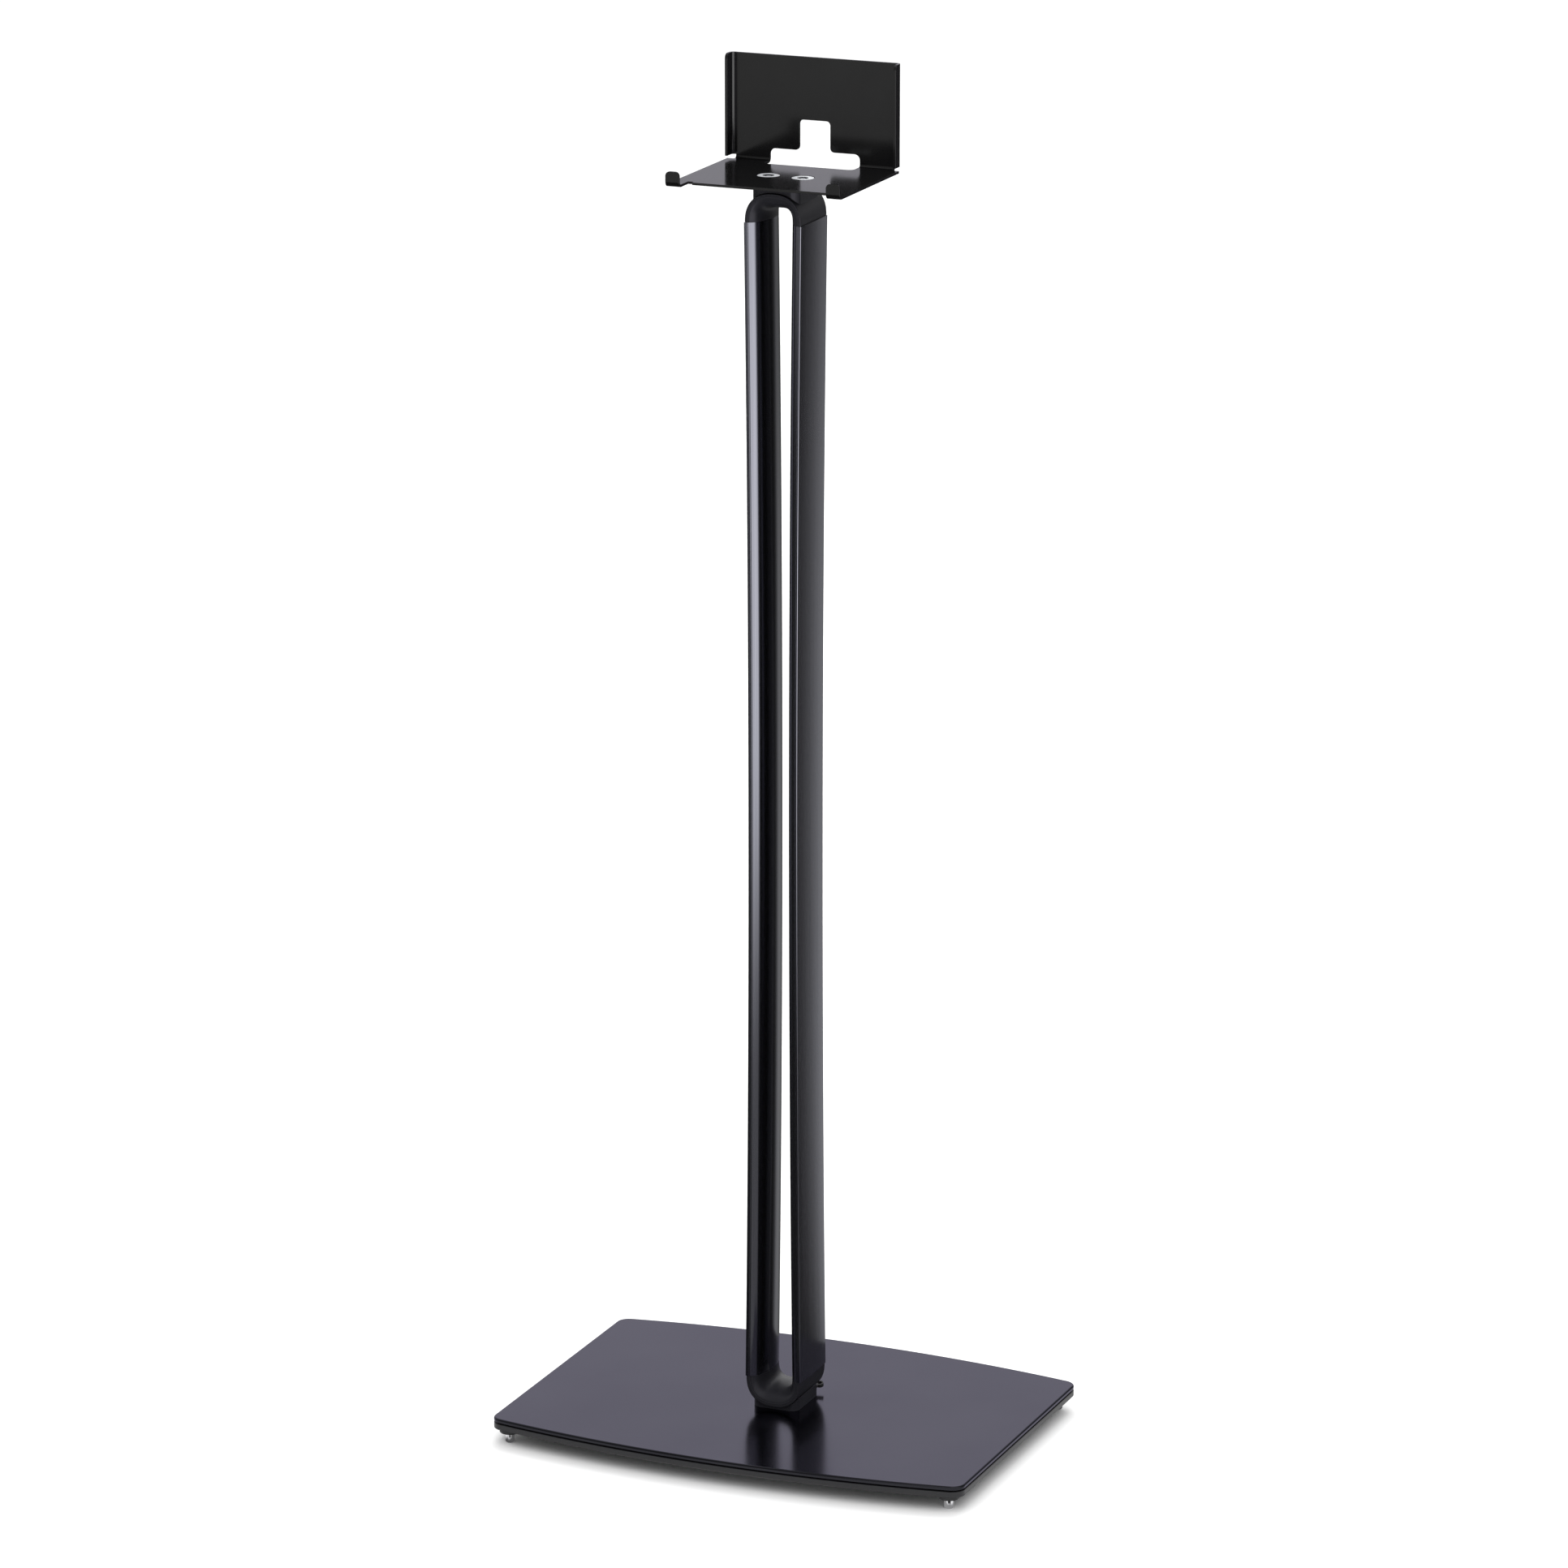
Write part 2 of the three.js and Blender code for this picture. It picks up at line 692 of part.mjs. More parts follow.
// ---- cable ring ----
function buildCableRing() {
  const half = RING_HEIGHT / 2;
  const tube = upright(arc(0, 0, RING_RADIUS, 0, 345, 23), -half, half);
  const hole = upright(arc(0, 0, RING_HOLE, 0, 345, 23), -half - 3, half + 3);
  const arm = upright(box(-1.6, GAP - RING_OUT, -0.2, 0), -half, RING_ARM - half);
  const body = joined([tube.rotate([RING_TILT, 0, 0]), arm]);
  const open = body.subtract(hole.rotate([RING_TILT, 0, 0]));
  const placed = open.translate([RING_X, NECK_HALF_Y + RING_OUT, BASE_Z + RING_Z]);
  addPart("cable_ring", placed, rubberBlack);
}

buildBase();
for (const [name, sideX, sideY] of FEET) {
  buildFoot(name, sideX * FOOT_X, sideY * FOOT_Y);
}
buildNecks();
buildCaps();
buildProfile("left_profile", -1);
buildProfile("right_profile", 1);
buildBracket();
buildScrews();
buildCableRing();

export default group;
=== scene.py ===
"""Looks of the speaker stand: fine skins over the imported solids, studio light and camera."""

from math import atan2, cos, degrees, hypot, pi, radians, sin, sqrt

import bmesh
import bpy
from mathutils import Matrix, Vector


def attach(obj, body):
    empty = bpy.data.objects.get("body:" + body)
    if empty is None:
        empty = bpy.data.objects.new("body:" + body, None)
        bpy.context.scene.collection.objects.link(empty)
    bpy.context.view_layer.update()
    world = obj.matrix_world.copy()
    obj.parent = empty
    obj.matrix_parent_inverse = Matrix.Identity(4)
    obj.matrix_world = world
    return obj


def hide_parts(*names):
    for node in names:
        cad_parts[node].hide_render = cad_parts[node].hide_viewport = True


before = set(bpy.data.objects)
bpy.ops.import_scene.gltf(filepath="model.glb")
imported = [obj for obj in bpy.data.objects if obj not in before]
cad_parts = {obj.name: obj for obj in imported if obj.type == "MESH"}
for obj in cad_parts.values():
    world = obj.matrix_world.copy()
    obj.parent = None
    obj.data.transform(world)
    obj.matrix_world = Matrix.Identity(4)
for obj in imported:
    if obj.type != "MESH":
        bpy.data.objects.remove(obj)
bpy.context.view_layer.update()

MM = 0.001

# ---- sizes of the solids that get a finer skin, in millimetres ----
BASE_WIDTH = 300
BASE_SIDE = 191  # length of the straight side edges
BASE_BULGE = 14.2  # how far the front and rear edges curve out
BASE_CORNER = 8
BASE_ROUNDING = 1.1  # radius along the top edge
BASE_EASE = 0.2  # the same along the lower edge of the top plate
LOWER_Z = 9.2  # underside of the lower plate
TOP_Z = 13.7  # underside of the top plate
BASE_Z = 16  # top of the base

NECK_LOW = 2.1  # lower neck under the loop's lowest line
NECK_HIGH = 5.5  # upper neck over the loop's highest line
LOOP_Z = BASE_Z + NECK_LOW
LOOP_HEIGHT = 732.4
CAP_RISE = 17.4  # from a seam to the loop's end
END_HALF = 17.7  # half width over the profiles at the seams
MIDDLE_HALF = 15.4  # half width at mid height, where the profiles bow in
HALF_DEPTH = 19.8
LAND = 2.2  # width of the flat front and rear lands
LAND_STEP = 0.5  # how far the round inner side stands back from the lands
CREST = 10  # thickness of a profile at its middle
EDGE = 0.35  # rounding of the outer edges
CROWN = 0.5  # swell of the outer strip
GROOVE_AT = 0.95  # from the outer strip to the groove in a land
GROOVE_WIDTH = 0.3
GROOVE_DEPTH = 0.22
CAP_INSET = 0.4  # the caps stand a little inside the profiles' faces
CAP_SQUARE = 2.35  # exponent of the caps' outer curve: 2 is an ellipse
CAP_INNER_SQUARE = 4.5  # the same for the crest line on the inside
CAP_THICK_END = 10.5  # thickness of a cap at the loop's very end
TONGUE_SHOWN = 3  # how far a cap's skin reaches into a profile
TONGUE_ACROSS = 0.8  # the tongue's share of the section's thickness
TONGUE_DEEP = 0.9  # and of its depth
SEAM = 0.15
LOW_SEAM = LOOP_Z + CAP_RISE
HIGH_SEAM = LOOP_Z + LOOP_HEIGHT - CAP_RISE
LOOP_MIDDLE = (LOW_SEAM + HIGH_SEAM) / 2

SHEET = 1.5
PLATE_TOP = LOOP_Z + LOOP_HEIGHT + NECK_HIGH + SHEET
SCREW_X = 10.65
SCREW_RADIUS = 3
SCREW_TIP = 0.6  # chamfer at the end of the shank
SCREW_LENGTH = 20
HEAD_RADIUS = 6.5
HEAD_SINK = 0.15  # how far a head lies under the face around it
HEAD_RIM = 0.4  # upright rim over the countersunk cone
HEAD_EASE = 0.2  # rounding of the rim
SOCKET_HALF = 2.1  # half the width across the flats
SOCKET_CHAMFER = 0.9
SOCKET_LEAD = 0.35  # depth of the chamfer
SOCKET_DEPTH = 0.6
SOCKET_TIP = 0.1  # extra depth of the floor at its middle
SOCKET_CENTRE = 0.2
# the dark ring is painted shade round the mouth of each socket
SOCKET_SHADE = (1.7, 2.0, 3.2, 3.5)  # radii where the dark ring starts, is full, fades and ends

# ---- widths of the softened edges, in millimetres ----
LOWER_PLATE_SOFT = 0.15
BOSS_SOFT = 0.25
FOOT_SOFT = 0.12
NECK_SOFT = 0.3
RING_SOFT = 0.2
BRACKET_SOFT = 0.22
# radius of the lightened edges, partly wear and partly a painted highlight
EDGE_WEAR_AND_HIGHLIGHT = 0.3

# ---- fineness of the skins ----
SHARP_ANGLE = radians(38)
FLAT_ANGLE = radians(0.8)
CORNER_STEPS = 16
BOW_STEPS = 32
ROUNDING_STEPS = 8
EDGE_STEPS = 6
LAND_EDGE_STEPS = 4
GROOVE_STEPS = 6
SIDE_STEPS = 64
CROWN_STEPS = 12
PROFILE_STEPS = 48
CAP_STEPS = 72
SCREW_STEPS = 72

# ---- light ----
HORIZON_LIGHT = 0.5
ZENITH_LIGHT = 1.45
FLOOR_REACH = 30
FLOOR_WHITE = 0.9
BACK_LAMP_POWER = 60
BACK_LAMP_SIZE = (2.4, 2.4)
FRONT_LAMP_POWER = 20
FRONT_LAMP_SIZE = (2.0, 2.0)

# brightness of the room as gloss sees it: azimuth in degrees from the front, and level
ROOM = (
    (-180, 1.0),
    (-120, 1.0),
    (-60, 0.4),
    (-34, 0.25),
    (-14, 0.25),
    (0, 0.9),
    (80, 0.9),
    (105, 0.6),
    (120, 0.25),
    (160, 0.25),
    (180, 1.0),
)
# the same for the floor: a bright patch in front and on the right, a dim one behind,
# and one far off at the front left
FLOOR_FRONT = (
    (-180, 0.0),
    (-14, 0.02),
    (-2, 2.6),
    (74, 2.6),
    (84, 0.9),
    (112, 0.5),
    (120, 0.0),
    (180, 0.0),
)
FLOOR_REAR = (
    (-180, 0.12),
    (-120, 0.10),
    (-70, 0.02),
    (149, 0.02),
    (153, 0.05),
    (157, 0.13),
    (163, 0.33),
    (172, 0.28),
    (180, 0.12),
)
FLOOR_FAR = (
    (-180, 0.0),
    (-70, 0.0),
    (-50, 0.54),
    (-14, 0.54),
    (-4, 0.0),
    (180, 0.0),
)
# how each patch changes away from the stand: two distances in metres, and the share at each
FRONT_FADE = (0.68, 1.7, 0.10, 1)
REAR_FADE = (0.2, 4, 1.45, 0.75)
FAR_FADE = (2.9, 4.1, 0, 1)
# the pale floor in gloss that is close to it: the same four values, by the mirrored ray's length
CLOSE_FADE = (0.05, 0.12, 0.9, 0)
# its share from just inside the base's outline to just outside it, a painted shadow under the base
SHADE_FADE = (-0.004, 0.004, 0.1, 1)

# ---- camera, in metres and degrees ----
CAMERA_AZIMUTH = radians(22.791)
CAMERA_ELEVATION = radians(15.425)
CAMERA_DISTANCE = 4.21498
CAMERA_ASIDE = -0.00098
CAMERA_AIM_Z = 0.38189 + BASE_Z * MM
CAMERA_REACH = 100
PHOTO_FOCAL = 8897.96  # focal length in pixels of the photograph
PHOTO_SIDE = 1932  # its width in pixels
SENSOR = 36


# ---- mesh helpers ----
def add_object(name, verts, faces, body, material):
    mesh = bpy.data.meshes.new(name)
    mesh.from_pydata([Vector(v) * MM for v in verts], [], faces)
    bm = bmesh.new()
    bm.from_mesh(mesh)
    bmesh.ops.remove_doubles(bm, verts=bm.verts, dist=1e-7)
    bmesh.ops.recalc_face_normals(bm, faces=bm.faces)
    bm.to_mesh(mesh)
    bm.free()
    return dress(name, mesh, body, material)


def dress(name, mesh, body, material):
    piece = bpy.data.objects.new(name, mesh)
    bpy.context.scene.collection.objects.link(piece)
    mesh.polygons.foreach_set("use_smooth", [True] * len(mesh.polygons))
    mesh.set_sharp_from_angle(angle=SHARP_ANGLE)
    mesh.materials.append(material)
    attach(piece, body)
    return piece


def weigh_normals(piece):
    """Keeps large flat faces flat where they meet small rounded ones."""
    weighted = piece.modifiers.new("weighted", "WEIGHTED_NORMAL")
    weighted.keep_sharp = True
    weighted.weight = 100
    weighted.thresh = 1e-6


def skin(name, rings, body, material):
    """Closed surface over rings of equal point counts, flat at both ends."""
    count = len(rings[0])
    verts = [p for ring in rings for p in ring]
    faces = []
    for r in range(len(rings) - 1):
        for i in range(count):
            a = r * count + i
            b = r * count + (i + 1) % count
            faces.append((a, b, b + count, a + count))
    faces.append(tuple(range(count)))
    faces.append(tuple(range(len(verts) - 1, len(verts) - count - 1, -1)))
    piece = add_object(name, verts, faces, body, material)
    weigh_normals(piece)
    return piece


def solid_skin(node, name, bevel, body, slot, material):
    """A copy of a solid with merged faces, softened edges and smooth curves."""
    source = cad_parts[node].data
    mesh = bpy.data.meshes.new(name)
    mesh.from_pydata([v.co for v in source.vertices], [], [p.vertices for p in source.polygons])
    bm = bmesh.new()
    bm.from_mesh(mesh)
    bmesh.ops.remove_doubles(bm, verts=bm.verts, dist=2e-6)
    bmesh.ops.dissolve_limit(bm, angle_limit=FLAT_ANGLE, verts=bm.verts, edges=bm.edges)
    bmesh.ops.recalc_face_normals(bm, faces=bm.faces)
    bm.to_mesh(mesh)
    bm.free()
    piece = dress(name, mesh, body, material)
    softened = piece.modifiers.new("softened", "BEVEL")
    softened.width = bevel * MM
    softened.segments = 3
    softened.limit_method = "ANGLE"
    softened.angle_limit = SHARP_ANGLE
    softened.use_clamp_overlap = True
    softened.miter_outer = "MITER_ARC"
    weigh_normals(piece)
    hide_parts(node)
    return piece


def arc(cx, cy, radius, start, end, steps):
    points = []
    for i in range(steps + 1):
        angle = radians(start + (end - start) * i / steps)
        points.append((cx + radius * cos(angle), cy + radius * sin(angle)))
    return points


# ---- node helpers ----
class Nodes:
    """A node tree with helpers that add and link its nodes."""

    def __init__(self, tree):
        self.tree = tree

    def add(self, kind, **values):
        node = self.tree.nodes.new(kind)
        for key, value in values.items():
            setattr(node, key, value)
        return node

    def link(self, source, target):
        self.tree.links.new(source, target)

    def parts(self, vector):
        """The X, Y and Z of a vector."""
        split = self.add("ShaderNodeSeparateXYZ")
        self.link(vector, split.inputs[0])
        return split.outputs

    def length(self, vector):
        node = self.add("ShaderNodeVectorMath", operation="LENGTH")
        self.link(vector, node.inputs[0])
        return node.outputs["Value"]

    def changed(self, operation, value):
        """Arithmetic on one value."""
        node = self.add("ShaderNodeMath", operation=operation)
        self.link(value, node.inputs[0])
        return node.outputs[0]

    def adjusted(self, operation, value, number):
        """Arithmetic on a value and a plain number."""
        node = self.add("ShaderNodeMath", operation=operation)
        self.link(value, node.inputs[0])
        node.inputs[1].default_value = number
        return node.outputs[0]

    def combined(self, operation, first, second):
        """Arithmetic on two values."""
        node = self.add("ShaderNodeMath", operation=operation)
        self.link(first, node.inputs[0])
        self.link(second, node.inputs[1])
        return node.outputs[0]

    def ramp(self, value, low, high, start=0.3, end=0.7):
        """Maps a value between start and end onto a range of numbers."""
        node = self.add("ShaderNodeMapRange", clamp=True)
        node.inputs["From Min"].default_value = start
        node.inputs["From Max"].default_value = end
        node.inputs["To Min"].default_value = low
        node.inputs["To Max"].default_value = high
        self.link(value, node.inputs["Value"])
        return node.outputs["Result"]

    def eased(self, value, start, end, low, high):
        """Like ramp, with a soft start and end."""
        node = self.add("ShaderNodeMapRange", interpolation_type="SMOOTHSTEP")
        node.inputs["From Min"].default_value = start
        node.inputs["From Max"].default_value = end
        node.inputs["To Min"].default_value = low
        node.inputs["To Max"].default_value = high
        self.link(value, node.inputs["Value"])
        return node.outputs["Result"]

    def mixed(self, factor, first, second):
        """Mixes two shaders."""
        node = self.add("ShaderNodeMixShader")
        self.link(factor, node.inputs[0])
        self.link(first, node.inputs[1])
        self.link(second, node.inputs[2])
        return node.outputs[0]


class Look(Nodes):
    """A material of one Principled shader."""

    def __init__(self, name):
        self.material = bpy.data.materials.new(name)
        self.material.use_nodes = True
        super().__init__(self.material.node_tree)
        self.shader = self.tree.nodes["Principled BSDF"]
        self.place = self.add("ShaderNodeTexCoord").outputs["Object"]

    def stretched(self, x, y, z):
        mapping = self.add("ShaderNodeMapping")
        mapping.inputs["Scale"].default_value = (x, y, z)
        self.link(self.place, mapping.inputs["Vector"])
        return mapping.outputs["Vector"]

    def noise(self, scale, detail, roughness=0.5, vector=None):
        node = self.add("ShaderNodeTexNoise")
        node.inputs["Scale"].default_value = scale
        node.inputs["Detail"].default_value = detail
        node.inputs["Roughness"].default_value = roughness
        self.link(vector or self.place, node.inputs["Vector"])
        return node.outputs["Fac"]

    def tint(self, value, dark, light):
        """Mixes two colours by a 0 to 1 value."""
        node = self.add("ShaderNodeMix", data_type="RGBA")
        node.inputs[6].default_value = (*dark, 1)
        node.inputs[7].default_value = (*light, 1)
        self.link(value, node.inputs[0])
        return node.outputs[2]

    def blend(self, factor, first, second):
        """Mixes two colour sockets."""
        node = self.add("ShaderNodeMix", data_type="RGBA")
        self.link(factor, node.inputs[0])
        self.link(first, node.inputs[6])
        self.link(second, node.inputs[7])
        return node.outputs[2]

    def clouded(self, cloud, dark, light):
        """A colour that drifts between two tones."""
        return self.tint(self.ramp(cloud, 0, 1), dark, light)

    def lit_outer_side(self):
        """One where the surface faces away from the middle plane between the profiles: the side
        that gets the painted lighter tone.
        """
        side = self.parts(self.place)["X"]
        facing = self.parts(self.add("ShaderNodeTexCoord").outputs["Normal"])["X"]
        away = self.combined("MULTIPLY", self.changed("SIGN", side), facing)
        return self.ramp(away, 0, 1, 0.4, 0.8)

    def from_screw_axis(self):
        """Distance from the upright axis of the nearer screw."""
        place = self.parts(self.place)
        level = self.add("ShaderNodeCombineXYZ")
        aside = self.adjusted("SUBTRACT", self.changed("ABSOLUTE", place["X"]), SCREW_X * MM)
        self.link(aside, level.inputs["X"])
        self.link(place["Y"], level.inputs["Y"])
        return self.length(level.outputs[0])

    def worn_and_highlit(self, colour, light, amount):
        """Lightens the edges a little: partly wear where handling polishes them, partly a painted
        highlight along them.
        """
        rounded = self.add("ShaderNodeBevel", samples=4)
        rounded.inputs["Radius"].default_value = EDGE_WEAR_AND_HIGHLIGHT * MM
        plain = self.add("ShaderNodeNewGeometry")
        match = self.add("ShaderNodeVectorMath", operation="DOT_PRODUCT")
        self.link(rounded.outputs["Normal"], match.inputs[0])
        self.link(plain.outputs["Normal"], match.inputs[1])
        factor = self.ramp(match.outputs["Value"], amount, 0, 0.75, 0.99)
        node = self.add("ShaderNodeMix", data_type="RGBA")
        node.inputs[7].default_value = (*light, 1)
        self.link(factor, node.inputs[0])
        self.link(colour, node.inputs[6])
        return node.outputs[2]

    def bump(self, height, strength, distance):
        node = self.add("ShaderNodeBump")
        node.inputs["Strength"].default_value = strength
        node.inputs["Distance"].default_value = distance
        self.link(height, node.inputs["Height"])
        return node.outputs["Normal"]

    def finish(self, colour, roughness, normal, **sockets):
        self.link(colour, self.shader.inputs["Base Color"])
        self.link(roughness, self.shader.inputs["Roughness"])
        self.link(normal, self.shader.inputs["Normal"])
        for key, value in sockets.items():
            self.shader.inputs[key.replace("_", " ")].default_value = value
        return self.material


# ---- materials ----
def base_paint():
    """Smooth black coat that mirrors pale surroundings at a shallow angle."""
    look = Look("base_paint")
    cloud = look.noise(14, 3)
    peel = look.noise(900, 2)
    colour = look.clouded(cloud, (0.030, 0.030, 0.036), (0.040, 0.040, 0.047))
    colour = look.worn_and_highlit(colour, (0.10, 0.10, 0.115), 0.5)
    roughness = look.ramp(cloud, 0.15, 0.19)
    normal = look.bump(peel, 0.05, 0.00004)
    tint = (0.88, 0.86, 0.98, 1)
    return look.finish(colour, roughness, normal, Metallic=1, Specular_Tint=tint)


def under_paint():
    """Flatter black coat of the lower plate."""
    look = Look("under_paint")
    cloud = look.noise(20, 3)
    grain = look.noise(2500, 2)
    colour = look.clouded(cloud, (0.010, 0.010, 0.012), (0.015, 0.015, 0.017))
    colour = look.worn_and_highlit(colour, (0.05, 0.05, 0.055), 0.3)
    roughness = look.ramp(cloud, 0.30, 0.40)
    normal = look.bump(grain, 0.2, 0.00005)
    return look.finish(colour, roughness, normal, Specular_IOR_Level=0.45)


def groove_paint():
    """Matt black in the groove between the plates."""
    look = Look("groove_paint")
    cloud = look.noise(60, 3)
    grain = look.noise(2500, 2)
    colour = look.clouded(cloud, (0.006, 0.006, 0.007), (0.010, 0.010, 0.011))
    roughness = look.ramp(cloud, 0.6, 0.75)
    normal = look.bump(grain, 0.3, 0.00005)
    return look.finish(colour, roughness, normal, Specular_IOR_Level=0.3)


def anodised():
    """Black anodised extrusion: faint drawing lines run up the profile, and the outer faces are
    painted about twice as light as the inner ones, as painted light.
    """
    look = Look("anodised")
    lines = look.noise(900, 3, 0.6, look.stretched(1, 1, 0.004))
    broad = look.noise(160, 2, 0.5, look.stretched(1, 1, 0.01))
    # painted light: the outer faces get about twice the tone of the inner faces
    inner = look.clouded(lines, (0.148, 0.149, 0.172), (0.182, 0.183, 0.210))
    outer = look.clouded(lines, (0.300, 0.300, 0.345), (0.340, 0.340, 0.390))
    colour = look.blend(look.lit_outer_side(), inner, outer)
    colour = look.worn_and_highlit(colour, (0.40, 0.40, 0.43), 0.3)
    roughness = look.ramp(broad, 0.12, 0.18)
    normal = look.bump(lines, 0.10, 0.00003)
    return look.finish(colour, roughness, normal, Metallic=0.985)


def cap_plastic():
    """Moulded plastic with a fine matt grain."""
    look = Look("cap_plastic")
    cloud = look.noise(45, 3)
    grain = look.noise(3200, 3, 0.65)
    colour = look.clouded(cloud, (0.014, 0.014, 0.017), (0.020, 0.020, 0.024))
    colour = look.worn_and_highlit(colour, (0.07, 0.07, 0.078), 0.5)
    roughness = look.ramp(grain, 0.30, 0.38)
    normal = look.bump(grain, 0.25, 0.00006)
    tint = (0.90, 0.88, 1.0, 1)
    return look.finish(colour, roughness, normal, Specular_IOR_Level=0.26, Specular_Tint=tint)


def bracket_coat():
    """Thin satin coat on bent sheet, smooth enough to mirror its own back panel."""
    look = Look("bracket_coat")
    cloud = look.noise(22, 3)
    peel = look.noise(1100, 2)
    colour = look.clouded(cloud, (0.042, 0.042, 0.042), (0.052, 0.052, 0.052))
    colour = look.worn_and_highlit(colour, (0.12, 0.12, 0.125), 0.4)
    roughness = look.ramp(cloud, 0.12, 0.17)
    normal = look.bump(peel, 0.06, 0.00004)
    tint = (0.64, 0.63, 0.68, 1)
    levels = {"Metallic": 0.92, "Specular_IOR_Level": 0, "Specular_Tint": tint}
    return look.finish(colour, roughness, normal, **levels)


def foot_chrome():
    look = Look("foot_chrome")
    cloud = look.noise(400, 3)
    turning = look.noise(2600, 2, 0.5, look.stretched(0.2, 0.2, 1))
    colour = look.clouded(cloud, (0.84, 0.84, 0.86), (0.93, 0.93, 0.95))
    roughness = look.ramp(cloud, 0.07, 0.14)
    normal = look.bump(turning, 0.12, 0.00003)
    return look.finish(colour, roughness, normal, Metallic=1)


def screw_zinc():
    """Bright zinc with a dark ring of painted shade round the mouth of the socket, where the
    socket's shadow falls.
    """
    look = Look("screw_zinc")
    cloud = look.noise(400, 3)
    turning = look.noise(2600, 2, 0.5, look.stretched(0.2, 0.2, 1))
    bright = look.clouded(cloud, (0.84, 0.87, 0.92), (0.95, 0.97, 1.0))
    # dark tone of the painted shade in the socket's mouth
    painted_shade = look.clouded(turning, (0.02, 0.022, 0.028), (0.05, 0.055, 0.065))
    radius = look.from_screw_axis()
    start, full, fading, end = (edge * MM for edge in SOCKET_SHADE)
    from_inside = look.ramp(radius, 0, 1, start, full)
    to_outside = look.ramp(radius, 1, 0, fading, end)
    ring = look.combined("MULTIPLY", from_inside, to_outside)
    colour = look.blend(ring, bright, painted_shade)
    roughness = look.ramp(cloud, 0.32, 0.42)
    normal = look.bump(turning, 0.12, 0.00003)
    return look.finish(colour, roughness, normal, Metallic=0.5)


def black_rubber(name):
    look = Look(name)
    cloud = look.noise(150, 3)
    grain = look.noise(3000, 3, 0.65)
    colour = look.clouded(cloud, (0.012, 0.012, 0.013), (0.020, 0.020, 0.022))
    colour = look.worn_and_highlit(colour, (0.06, 0.06, 0.065), 0.5)
    roughness = look.ramp(grain, 0.45, 0.6)
    normal = look.bump(grain, 0.3, 0.00006)
    return look.finish(colour, roughness, normal, Specular_IOR_Level=0.5)


BASE_PAINT = base_paint()
UNDER_PAINT = under_paint()
GROOVE_PAINT = groove_paint()
ANODISED = anodised()
CAP_PLASTIC = cap_plastic()
BRACKET_COAT = bracket_coat()
CHROME = foot_chrome()
ZINC = screw_zinc()
RUBBER = black_rubber("boss_rubber")
RING_PLASTIC = black_rubber("ring_plastic")


# ---- base ----
def base_outline(inset):
    """Straight sides, bowed front and rear, rounded corners."""
    half = BASE_WIDTH / 2
    bow = (half * half + BASE_BULGE * BASE_BULGE) / (2 * BASE_BULGE)
    centre = BASE_SIDE / 2 + BASE_BULGE - bow
    corner_x = half - BASE_CORNER
    corner_y = centre + sqrt((bow - BASE_CORNER) ** 2 - corner_x * corner_x)
    tilt = degrees(atan2(corner_y - centre, corner_x))
    quarter = arc(corner_x, corner_y, BASE_CORNER - inset, 0, tilt, CORNER_STEPS)
    quarter += arc(0, centre, bow - inset, tilt, 90, BOW_STEPS)[1:]
    left = [(-x, y) for x, y in reversed(quarter)][1:]
    rear = quarter + left
    return rear + [(-x, -y) for x, y in rear]


def build_base():
    rings = []
    for inset, rise in ((1, 0), (0.25, 0.3), (0, 1)):
        outline = base_outline(BASE_EASE * inset)
        rings.append([(x, y, TOP_Z + BASE_EASE * rise) for x, y in outline])
    for step in range(ROUNDING_STEPS + 1):
        turn = radians(90 * step / ROUNDING_STEPS)
        inset = BASE_ROUNDING * (1 - cos(turn))
        z = BASE_Z - BASE_ROUNDING * (1 - sin(turn))
        rings.append([(x, y, z) for x, y in base_outline(inset)])
    top = skin("base_top_skin", rings, "stand", BASE_PAINT)
    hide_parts("base_top_plate")
    lower = ("base_lower_plate", "base_lower_skin", LOWER_PLATE_SOFT)
    solid_skin(*lower, "stand", "base_underside", UNDER_PAINT)
    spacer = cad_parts["base_groove_spacer"].data.materials
    spacer[0] = GROOVE_PAINT


def build_feet():
    for corner in ("front_left", "front_right", "back_left", "back_right"):
        boss = "foot_boss_" + corner
        solid_skin(boss, boss + "_skin", BOSS_SOFT, "stand", "boss_rubber", RUBBER)
        foot = "screw_foot_" + corner
        solid_skin(foot, foot + "_skin", FOOT_SOFT, "foot_" + corner, "foot_chrome", CHROME)


# ---- loop column ----
def half_width(z):
    reach = (z - LOOP_MIDDLE) / (HIGH_SEAM - LOOP_MIDDLE)
    return MIDDLE_HALF + (END_HALF - MIDDLE_HALF) * reach * reach


def groove(face, inward):
    """A fine round-bottomed groove along a land."""
    points = []
    for i in range(GROOVE_STEPS + 1):
        across = i / GROOVE_STEPS
        sink = GROOVE_DEPTH * sin(pi * across)
        points.append((GROOVE_AT + GROOVE_WIDTH * across, face + inward * sink))
    return points


